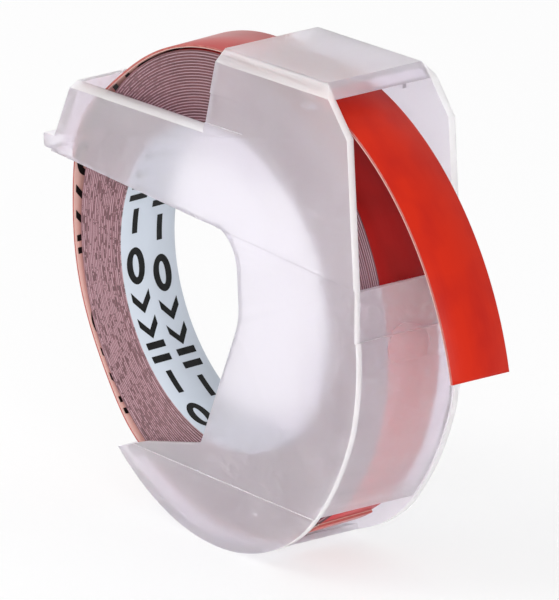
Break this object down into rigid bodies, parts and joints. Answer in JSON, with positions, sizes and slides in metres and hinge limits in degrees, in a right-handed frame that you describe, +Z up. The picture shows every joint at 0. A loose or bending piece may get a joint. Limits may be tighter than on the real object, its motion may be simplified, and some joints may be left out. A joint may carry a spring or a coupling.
{
  "type": "embossing label maker tape cassette",
  "caption": "Refill cassette for an embossing label maker: an open translucent case round a leaning coil of glossy vinyl tape, its free end curling out from under the cap.",
  "frame": {"origin": "middle of the open round space that holds the coil, halfway between the two plates", "axes": "+X the way the tape comes out, +Y from the front plate to the back plate, across the tape, +Z up towards the cap"},
  "size_m": [0.0667, 0.012, 0.05],
  "materials": {
    "case": "milky translucent polypropylene, satin",
    "coil_edge": "cut edges of many vinyl and paper layers, satin",
    "vinyl": "glossy red vinyl",
    "backing": "pale blue-white coated backing strip"
  },
  "bodies": {
    "case": {"case": "case"},
    "coil": {"tape_coil": "coil_edge", "inner_liner": "backing", "outer_turn": "vinyl", "outer_turn_liner": "backing"},
    "leader": {"leader": "vinyl", "leader_liner": "backing"}
  },
  "joints": [
    {"name": "coil_turn", "type": "hinge", "parent": "case", "child": "coil", "pos_m": [0, 0, 0], "axis": [-0.0802, 0.9968, 0], "range_deg": [0, 34]},
    {"name": "tape_feed", "type": "slide", "parent": "case", "child": "leader", "axis": [1, 0, 0], "range_m": [0, 0.0141]}
  ],
  "couplings": [
    {"joint": "tape_feed", "follows": "coil_turn", "m_per_rad": 0.0236}
  ]
}
